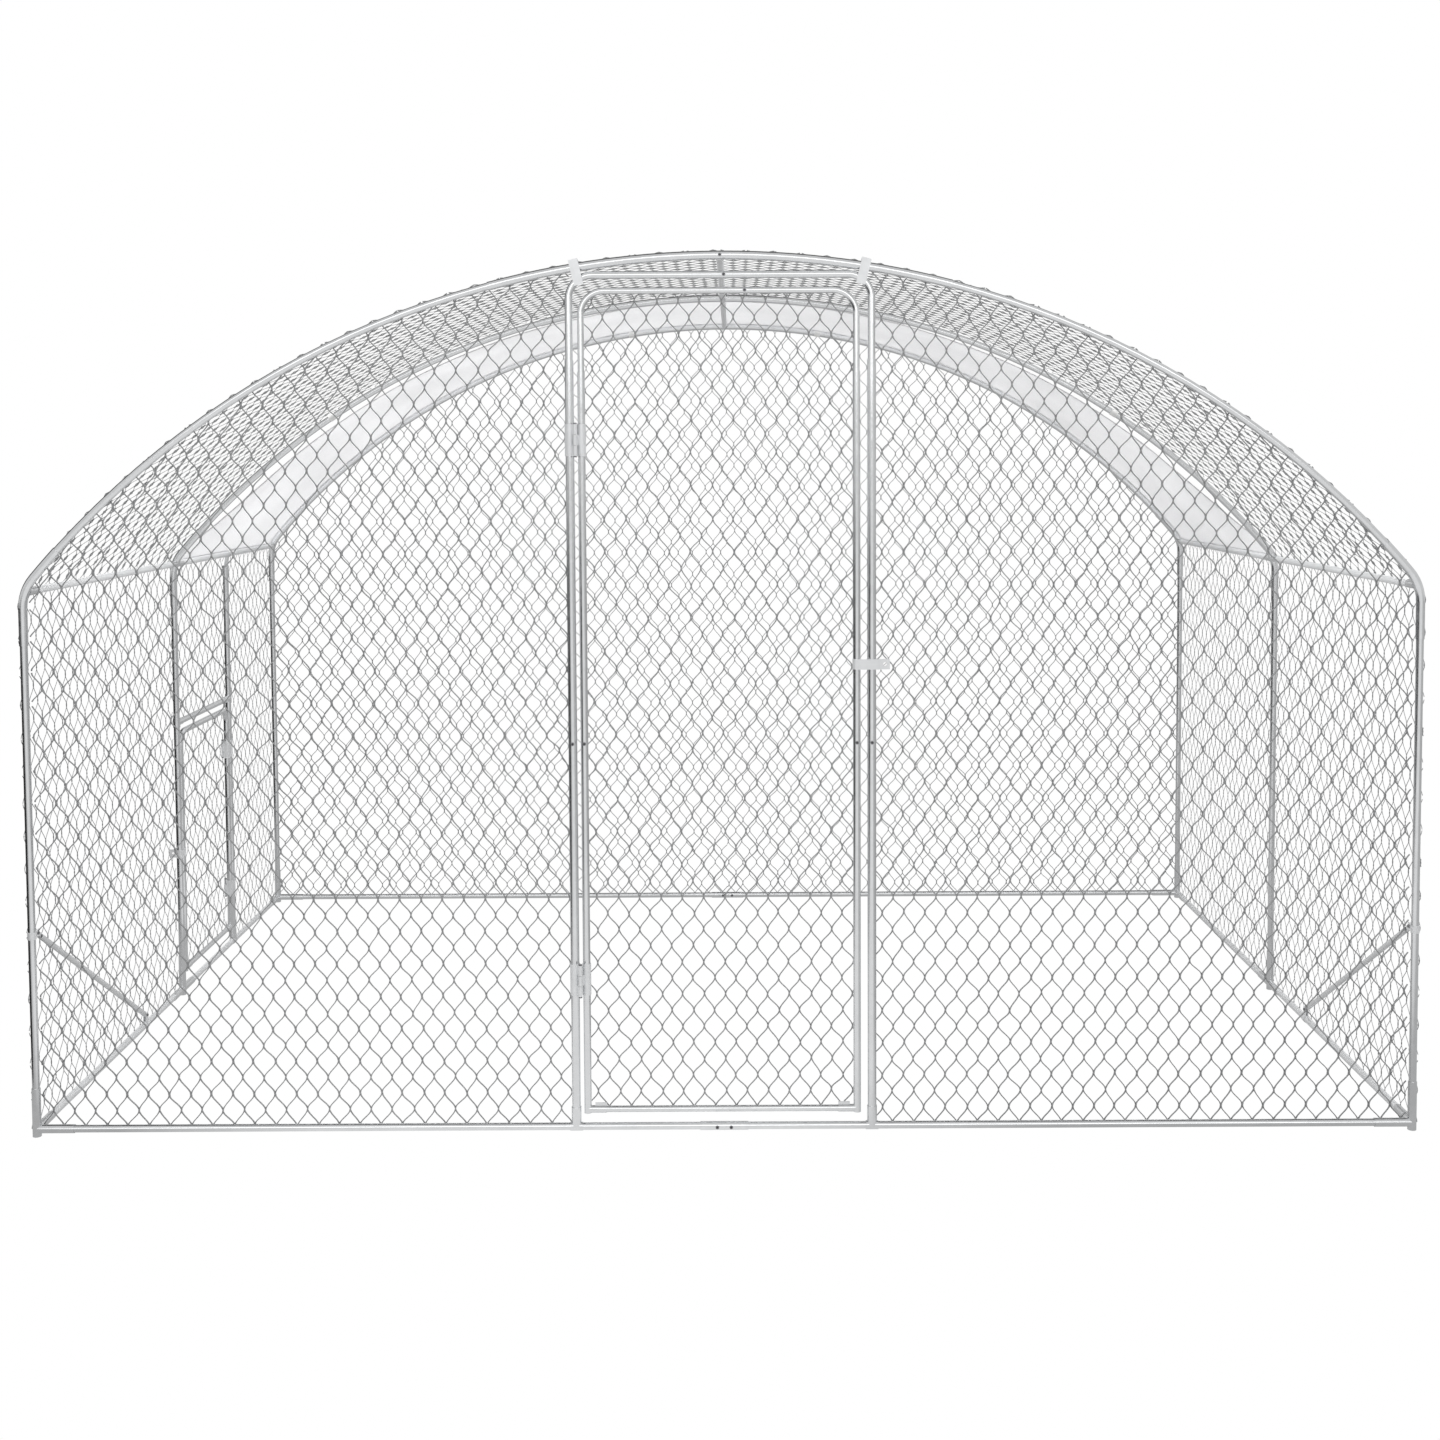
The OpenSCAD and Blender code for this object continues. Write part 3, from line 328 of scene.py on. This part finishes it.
def clipped(path, inside):
    """Yields the stretches of path that lie inside, with their ends moved to the edge."""
    mask = inside(path[:, 0], path[:, 1])
    change = np.flatnonzero(np.diff(mask.astype(int)))
    starts = [0] if mask[0] else []
    starts += [i + 1 for i in change if mask[i + 1]]
    for first in starts:
        last = first
        while last + 1 < len(path) and mask[last + 1]:
            last += 1
        ends = []
        for kept, lost in ((first, first - 1), (last, last + 1)):
            if 0 <= lost < len(path):
                near, far = path[kept].copy(), path[lost].copy()
                for _ in range(HALVINGS):
                    middle = (near + far) / 2
                    if inside(middle[:1], middle[1:2])[0]:
                        near = middle
                    else:
                        far = middle
                ends.append(near[None])
            else:
                ends.append(np.zeros((0, 4)))
        run = np.concatenate([ends[0], path[first:last + 1], ends[1]])
        keep = np.append(True, np.linalg.norm(np.diff(run[:, :3], axis=0), axis=1) > SHORTEST_STEP)
        run = run[keep]
        if len(run) > 2:
            yield run


def netting(name, node, body, grid, low, high, inside, place):
    """Wire netting in place of a CAD net. place turns (across, along, out) into the frame's coordinates."""
    points, quads, count = [], [], 0
    turn = (np.arange(WIRE_SIDES) + 0.5) * 2 * math.pi / WIRE_SIDES
    sides = np.arange(WIRE_SIDES)
    for path in wire_paths(*grid, low, high):
        for run in clipped(path, inside):
            heading = np.gradient(run[:, :2], axis=0)
            heading /= np.linalg.norm(heading, axis=1)[:, None]
            sideways = np.stack([-heading[:, 1], heading[:, 0]], 1)
            ring = np.empty((len(run), WIRE_SIDES, 3))
            radius = run[:, 3:]
            ring[:, :, :2] = run[:, None, :2] + sideways[:, None] * (radius * np.cos(turn))[:, :, None]
            ring[:, :, 2] = run[:, 2:3] + radius * np.sin(turn)
            points.append(place(ring.reshape(-1, 3)))
            base = count + WIRE_SIDES * np.arange(len(run) - 1)[:, None]
            following = (sides + 1) % WIRE_SIDES
            walls = np.stack([base + sides, base + following, base + following + WIRE_SIDES,
                              base + sides + WIRE_SIDES], 2)
            last = count + WIRE_SIDES * (len(run) - 1)
            caps = np.array([count + sides[::-1], last + sides])
            quads.append(np.concatenate([walls.reshape(-1, 4), caps]))
            count += WIRE_SIDES * len(run)
    points, quads = np.concatenate(points).tolist(), np.concatenate(quads).tolist()
    piece = add_piece(name, points, quads, "galvanised_wire", body)
    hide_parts(node)


def middle_of(node, axis):
    low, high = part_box(node)
    return (low[axis] + high[axis]) / 2


def on_end(node):
    y = middle_of(node, 1)
    return lambda p: np.stack([p[:, 0], y + p[:, 2], p[:, 1]], 1)


def on_side(node):
    x = middle_of(node, 0)
    return lambda p: np.stack([x + p[:, 2], p[:, 0], p[:, 1]], 1)


def under_arch(x, z):
    return x ** 2 + (z - ARCH_Z) ** 2 < ARCH_RADIUS ** 2


def hoop_inside(x0, x1):
    return lambda x, z: (x > x0) & (x < x1) & (z > RAIL_HEIGHT) & under_arch(x, z)


def box_inside(low, high):
    return lambda a, b: (a > low[0]) & (a < high[0]) & (b > low[1]) & (b < high[1])


def leaf_inside(low, high, radius):
    def inside(a, b):
        edge = np.minimum(a - low[0], high[0] - a)
        top = high[1] - b
        corner = (edge < radius) & (top < radius) & ((radius - edge) ** 2 + (radius - top) ** 2 > radius ** 2)
        return (edge > 0) & (top > 0) & (b > low[1]) & ~corner
    return inside


FRONT_GRID = (WALL_CELL, WALL_ROW, WALL_TWIST, FRONT_WIRE)
REAR_GRID = (WALL_CELL, WALL_ROW, WALL_TWIST, REAR_WIRE)
SIDE_GRID = (WALL_CELL, WALL_ROW, WALL_TWIST, SIDE_WIRE)
ROOF_GRID = (ROOF_CELL, ROOF_ROW, ROOF_TWIST, ROOF_WIRE)


def flat_netting(name, node, body, grid, axis, inside):
    """Netting over the inside of a flat CAD net, or over a part of it."""
    box_low, box_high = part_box(node)
    low, high = (box_low[axis], box_low[2]), (box_high[axis], box_high[2])
    place = on_end(node) if axis == 0 else on_side(node)
    netting(name, node, body, grid, low, high, inside, place)


for name, node, grid, start, end in (
    ("front_netting_left", "front_net_left", FRONT_GRID, -HALF_SPAN + NET_EDGE, -JAMB_OFFSET),
    ("front_netting_right", "front_net_right", FRONT_GRID, JAMB_OFFSET, HALF_SPAN - NET_EDGE),
    ("rear_netting_left", "rear_net", REAR_GRID, -HALF_SPAN, 0),
    ("rear_netting_right", "rear_net", REAR_GRID, 0, HALF_SPAN),
):
    flat_netting(name, node, "frame", grid, 0, hoop_inside(start, end))

SIDE_POST_Y = middle_of("side_door_post", 1)
SIDE_HEADER_Z = middle_of("side_door_header", 2)


def on_wall(side):
    """Places netting on a side wall, and above the legs on the eave bends."""
    def place(p):
        lift = np.maximum(p[:, 1] - BEND_Z, 0) / (BEND_RADIUS + NET_GAP)
        reach = BEND_RADIUS + NET_GAP + p[:, 2]
        height = np.minimum(p[:, 1], BEND_Z) + reach * np.sin(lift)
        return np.stack([side * (BEND_X + reach * np.cos(lift)), p[:, 0], height], 1)
    return place


for name, node, side, low, high in (
    ("right_netting_front", "right_net", 1, (-BAY, RAIL_HEIGHT), (0.0, WALL_TOP)),
    ("right_netting_rear", "right_net", 1, (0.0, RAIL_HEIGHT), (BAY, WALL_TOP)),
    ("left_netting_front", "left_net", -1, (-BAY, RAIL_HEIGHT), (-NET_PARTING, WALL_TOP)),
    ("left_netting_middle", "left_net", -1, (0.0, SIDE_HEADER_Z), (SIDE_POST_Y, WALL_TOP)),
    ("left_netting_rear", "left_net", -1, (SIDE_POST_Y, RAIL_HEIGHT), (BAY, WALL_TOP)),
):
    netting(name, node, "frame", SIDE_GRID, low, high, box_inside(low, high), on_wall(side))

for name, node, body, grid, axis, corner in (
    ("door_netting", "door_net", "main_door", FRONT_GRID, 0, DOOR_CORNER),
    ("side_door_netting", "side_door_net", "side_door", SIDE_GRID, 1, SIDE_LEAF_CORNER),
):
    low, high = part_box(node)
    outline = leaf_inside((low[axis], low[2]), (high[axis], high[2]), corner)
    flat_netting(name, node, body, grid, axis, outline)


def over_arch(along, out, gap):
    """(x, z) at a length along the roof from the crown, out from a surface at gap over the centreline."""
    turn = np.sign(along) * np.minimum(np.abs(along) / (ARCH_RADIUS + gap), BEND_ANGLE)
    rest = np.abs(along) - (ARCH_RADIUS + gap) * BEND_ANGLE
    bend = np.maximum(rest, 0) / (BEND_RADIUS + gap)
    full = np.abs(turn) + bend
    side = np.sign(along)
    on_bend = rest > 0
    x = np.where(on_bend, BEND_X + (BEND_RADIUS + gap + out) * np.sin(full),
                 (ARCH_RADIUS + gap + out) * np.sin(full)) * side
    z = np.where(on_bend, BEND_Z + (BEND_RADIUS + gap + out) * np.cos(full),
                 ARCH_Z + (ARCH_RADIUS + gap + out) * np.cos(full))
    return x, z


def roof_length(gap, wrap):
    """Length along the roof from the crown, to wrap radians down the eave bend."""
    return (ARCH_RADIUS + gap) * BEND_ANGLE + (BEND_RADIUS + gap) * wrap


def on_roof(p):
    x, z = over_arch(p[:, 1], p[:, 2], NET_GAP)
    return np.stack([x, p[:, 0], z], 1)


roof_low, roof_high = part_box("roof_net_front")
roof_reach = roof_length(NET_GAP, math.pi / 2 - BEND_ANGLE - WALL_TOP_ANGLE)
for name, start, end in (("roof_netting_left", -roof_reach, 0.0), ("roof_netting_right", 0.0, roof_reach)):
    low, high = (roof_low[1], start), (roof_high[1], end)
    netting(name, "roof_net_front", "frame", ROOF_GRID, low, high, box_inside(low, high), on_roof)


# Cover sheet

COVER_GAP = SOCKET_RADIUS + SEAT_GAP
COVER_THICK = 0.0006
COVER_TONGUE = 0.150
COVER_SETBACK = 0.230
CUTOUT_END = 1.4678
COVER_WRAP = math.radians(25)
COVER_REAR = BAY + SOCKET_RADIUS
HEM_WIDTH = 0.015
RIPPLE = 0.0016
# The two waves of the ripples, in radians per metre along the roof and in depth
FIRST_WAVE, SECOND_WAVE = (14, 5), (-3, 9)
COVER_STEPS = (240, 60)
END_HEM_STEPS = (240, 4)
SIDE_HEM_STEPS = (6, 60)
AREA_STEPS = 400


def cover_front(x):
    """Depth of the front edge: at the middle hoop by the crown and the eaves, with a cutout between."""
    before = COVER_TONGUE + COVER_SETBACK - np.abs(x)
    after = np.abs(x) - CUTOUT_END + COVER_SETBACK
    outside = np.clip(np.maximum(before, after), 0, COVER_SETBACK)
    return np.sqrt(COVER_SETBACK ** 2 - outside ** 2)


def cover_out(along, depth):
    """Slack of the sheet: shallow ripples between the hoops, none where it is tied down."""
    slack = np.sin(math.pi * np.clip(depth / BAY, 0, 1)) ** 2
    first = FIRST_WAVE[0] * along + FIRST_WAVE[1] * depth
    second = SECOND_WAVE[0] * along + SECOND_WAVE[1] * depth
    return RIPPLE * slack * (1 + np.sin(first) * np.cos(second))


def cover_grid(span, depth_of, steps, lift, thick):
    """Closed sheet over a span of the roof. depth_of gives the depth at x for a share from front to rear."""
    along = np.linspace(*span, steps[0] + 1)[:, None] + np.zeros((1, steps[1] + 1))
    share = np.linspace(0, 1, steps[1] + 1)[None] + np.zeros_like(along)
    x0, _ = over_arch(along, 0.0, COVER_GAP)
    depth = depth_of(x0, share)
    layers = []
    for out in (lift + thick, lift):
        x, z = over_arch(along, out + cover_out(along, depth), COVER_GAP)
        layers.append(np.stack([x, depth, z], 2).reshape(-1, 3))
    return along, depth, np.concatenate(layers)


def grid_faces(rows, columns):
    """Faces of a closed sheet whose top points come first, then its bottom points."""
    number = np.arange((rows + 1) * (columns + 1)).reshape(rows + 1, columns + 1)
    a, b, c, d = number[:-1, :-1], number[1:, :-1], number[1:, 1:], number[:-1, 1:]
    top = np.stack([a, b, c, d], 2).reshape(-1, 4)
    below = (rows + 1) * (columns + 1)
    bottom = top[:, ::-1] + below
    rim = np.concatenate([number[:, 0][::-1], number[0, 1:], number[1:, -1], number[-1, 1:-1][::-1]])
    ahead = np.roll(rim, -1)
    walls = np.stack([rim, rim + below, ahead + below, ahead], 1)
    return np.concatenate([top, bottom, walls]).tolist()


def unroll(piece, along, depth):
    """Lays the sheet's weave out flat, in metres."""
    flat = np.stack([along.ravel(), depth.ravel()], 1)
    flat = np.concatenate([flat, flat])
    layer = piece.data.uv_layers.new(name="Weave")
    corners = np.empty(len(piece.data.loops), dtype=np.int32)
    piece.data.loops.foreach_get("vertex_index", corners)
    layer.data.foreach_set("uv", flat[corners].ravel())


def cover_strip(name, span, depth_of, steps, lift, thick):
    along, depth, points = cover_grid(span, depth_of, steps, lift, thick)
    piece = add_piece(name, points.tolist(), grid_faces(*steps), "cover_cloth", "frame")
    unroll(piece, along, depth)
    return piece


def whole_depth(x, share):
    front = cover_front(x)
    return front + share * (COVER_REAR - front)


cover_reach = roof_length(COVER_GAP, COVER_WRAP)
across = (-cover_reach, cover_reach)
left_edge = (-cover_reach, HEM_WIDTH - cover_reach)
right_edge = (cover_reach - HEM_WIDTH, cover_reach)
cover = cover_strip("cover_sheet", across, whole_depth, COVER_STEPS, 0.0, COVER_THICK)
hems = [
    cover_strip("cover_front_hem", across, lambda x, share: cover_front(x) + share * HEM_WIDTH,
                END_HEM_STEPS, COVER_THICK, COVER_THICK),
    cover_strip("cover_rear_hem", across, lambda x, share: COVER_REAR - share * HEM_WIDTH + 0 * x,
                END_HEM_STEPS, COVER_THICK, COVER_THICK),
    cover_strip("cover_left_hem", left_edge, whole_depth, SIDE_HEM_STEPS, COVER_THICK, COVER_THICK),
    cover_strip("cover_right_hem", right_edge, whole_depth, SIDE_HEM_STEPS, COVER_THICK, COVER_THICK),
]
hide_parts("roof_cover")
front_edge = cover_front(over_arch(np.linspace(*across, AREA_STEPS), 0.0, COVER_GAP)[0])


# Cross recesses of the screws, drawn as near-black bars: painted shade in the recesses

POST_SCREW_Z = 0.852
HEADER_SCREW_X = 0.008
RAIL_SCREW_X = 0.015
DOOR_SCREW_X = 0.052
SCREW_RISE = 0.00275
# Half the length, width and depth of a bar of the cross
RECESS = (0.0025, 0.00055, 0.0002)
FRAME_SCREWS = [
    (HEADER_SCREW_X, -BAY - TUBE_RADIUS, HEADER_Z),
    (0.0, -BAY - SOCKET_RADIUS, CROWN_HEIGHT),
    (-JAMB_OFFSET, -BAY - SOCKET_RADIUS, POST_SCREW_Z),
    (JAMB_OFFSET, -BAY - SOCKET_RADIUS, POST_SCREW_Z),
]
FRAME_SCREWS += [(x, y - SOCKET_RADIUS, RAIL_HEIGHT)
                 for x in (-RAIL_SCREW_X, RAIL_SCREW_X) for y in (-BAY, BAY)]
DOOR_SCREWS = [
    (HINGE_STILE_X, -BAY - TUBE_RADIUS, POST_SCREW_Z),
    (LATCH_STILE_X, -BAY - TUBE_RADIUS, POST_SCREW_Z),
    (DOOR_SCREW_X, -BAY - PLUG_RADIUS, DOOR_TOP_Z),
]


def recess_shade_crosses(name, screws, body):
    """Dark cross on the head of each screw: painted shade standing for the shade inside its cross recess."""
    points, quads = [], []
    box = np.array([[a, b, c] for a in (-1, 1) for b in (-1, 1) for c in (-1, 1)]) * RECESS
    faces = np.array([[0, 1, 3, 2], [4, 6, 7, 5], [0, 4, 5, 1], [2, 3, 7, 6], [0, 2, 6, 4], [1, 5, 7, 3]])
    for place in screws:
        start = random.uniform(0, math.pi / 2)
        for turn in (start, start + math.pi / 2):
            along = np.array([math.cos(turn), 0, math.sin(turn)])
            beside = np.array([-math.sin(turn), 0, math.cos(turn)])
            quads.append(faces + len(box) * len(points))
            points.append(np.array(place) + box @ np.array([along, beside, (0, -1, 0)]) - (0, SCREW_RISE, 0))
    points, quads = np.concatenate(points).tolist(), np.concatenate(quads).tolist()
    piece = add_piece(name, points, quads, "zinc_fasteners", body, smooth=False)
    # The crosses take a near-black material: painted shade in the recesses
    piece.data.materials[0] = MATERIALS["painted_recess_shade"]


recess_shade_crosses("frame_screw_shade_crosses", FRAME_SCREWS, "frame")
recess_shade_crosses("door_screw_shade_crosses", DOOR_SCREWS, "main_door")


# Floor, light and camera

def camera_only_white(nodes, links, other):
    """White where the camera looks straight at it, and the other shader for all other light."""
    path = nodes.new("ShaderNodeLightPath")
    mix = nodes.new("ShaderNodeMixShader")
    white = nodes.new("ShaderNodeEmission")
    white.inputs["Color"].default_value = (1, 1, 1, 1)
    links.new(path.outputs["Is Camera Ray"], mix.inputs["Fac"])
    links.new(other, mix.inputs[1])
    links.new(white.outputs["Emission"], mix.inputs[2])
    return mix.outputs["Shader"]


def uneven_light(nodes, links, place, level, parts):
    """Strength of the light that comes from a place on the floor, or from a direction of the room."""
    light = None
    for origin, side, start, end, before, after in parts:
        offset = nodes.new("ShaderNodeVectorMath")
        offset.operation = "SUBTRACT"
        offset.inputs[1].default_value = origin
        links.new(place, offset.inputs[0])
        direction = nodes.new("ShaderNodeVectorMath")
        direction.operation = "NORMALIZE"
        links.new(offset.outputs["Vector"], direction.inputs[0])
        towards = nodes.new("ShaderNodeVectorMath")
        towards.operation = "DOT_PRODUCT"
        towards.inputs[1].default_value = side
        links.new(direction.outputs["Vector"], towards.inputs[0])
        share = nodes.new("ShaderNodeMapRange")
        share.inputs["From Min"].default_value = start
        share.inputs["From Max"].default_value = end
        share.inputs["To Min"].default_value = before
        share.inputs["To Max"].default_value = after
        links.new(towards.outputs["Value"], share.inputs["Value"])
        product = nodes.new("ShaderNodeMath")
        product.operation = "MULTIPLY"
        product.inputs[0].default_value = level
        if light:
            links.new(light, product.inputs[0])
        links.new(share.outputs["Result"], product.inputs[1])
        light = product.outputs["Value"]
    return light


def make_floor():
    bpy.ops.mesh.primitive_plane_add(size=FLOOR_SIZE, location=(0, 0, -FLOOR_DROP))
    floor = bpy.context.object
    floor.name = "floor"
    material = bpy.data.materials.new("floor")
    material.use_nodes = True
    nodes, links = material.node_tree.nodes, material.node_tree.links
    nodes.clear()
    output = nodes.new("ShaderNodeOutputMaterial")
    glow = nodes.new("ShaderNodeEmission")
    glow.inputs["Color"].default_value = (1, 1, 1, 1)
    place = nodes.new("ShaderNodeTexCoord")
    light = uneven_light(nodes, links, place.outputs["Object"], FLOOR_GLOW, FLOOR_LIGHT)
    links.new(light, glow.inputs["Strength"])
    links.new(camera_only_white(nodes, links, glow.outputs["Emission"]), output.inputs["Surface"])
    floor.data.materials.append(material)


def make_world():
    """White to the camera, and a room of uneven light to the steel."""
    world = bpy.data.worlds.new("studio")
    bpy.context.scene.world = world
    world.use_nodes = True
    nodes, links = world.node_tree.nodes, world.node_tree.links
    nodes.clear()
    output = nodes.new("ShaderNodeOutputWorld")
    place = nodes.new("ShaderNodeTexCoord")
    room = nodes.new("ShaderNodeBackground")
    light = uneven_light(nodes, links, place.outputs["Generated"], ROOM_GLOW, ROOM_LIGHT)
    links.new(light, room.inputs["Strength"])
    links.new(camera_only_white(nodes, links, room.outputs["Background"]), output.inputs["Surface"])


def make_softbox(name, place, target, size, power, in_reflections=True):
    light = bpy.data.lights.new(name, "AREA")
    light.shape = "RECTANGLE"
    light.size, light.size_y = size
    light.energy = power
    lamp = bpy.data.objects.new(name, light)
    lamp.location = place
    lamp.visible_glossy = in_reflections
    direction = np.array(target) - np.array(place)
    lamp.rotation_euler = Vector(direction).to_track_quat("-Z", "Y").to_euler()
    bpy.context.scene.collection.objects.link(lamp)


def make_camera():
    data = bpy.data.cameras.new("camera")
    data.sensor_width = SENSOR
    data.lens = FOCAL_PIXELS / PHOTO_SIZE * SENSOR
    data.shift_x = (PHOTO_SIZE / 2 - AXIS_PIXEL[0]) / PHOTO_SIZE
    data.shift_y = (AXIS_PIXEL[1] - PHOTO_SIZE / 2) / PHOTO_SIZE
    camera = bpy.data.objects.new("camera", data)
    camera.location = CAMERA_PLACE
    camera.rotation_euler = (math.pi / 2 + CAMERA_PITCH, CAMERA_ROLL, 0)
    bpy.context.scene.collection.objects.link(camera)
    bpy.context.scene.camera = camera


make_floor()
make_world()
make_softbox("front_softbox", (0, -7.0, 3.2), (0, 0, 1.2), (8.0, 2.6), 65)
for name, place, power in (
    ("sky_softbox", (0, 0.6, 6.0), 45),
    ("sky_softbox_left", (-5.0, 0.6, 5.0), 410),
    ("sky_softbox_right", (5.0, 0.6, 5.0), 300),
):
    make_softbox(name, place, (0, 0.6, 1.4), (4.4, 4.4), power, in_reflections=False)
make_camera()
bpy.context.scene.view_settings.view_transform = "Standard"
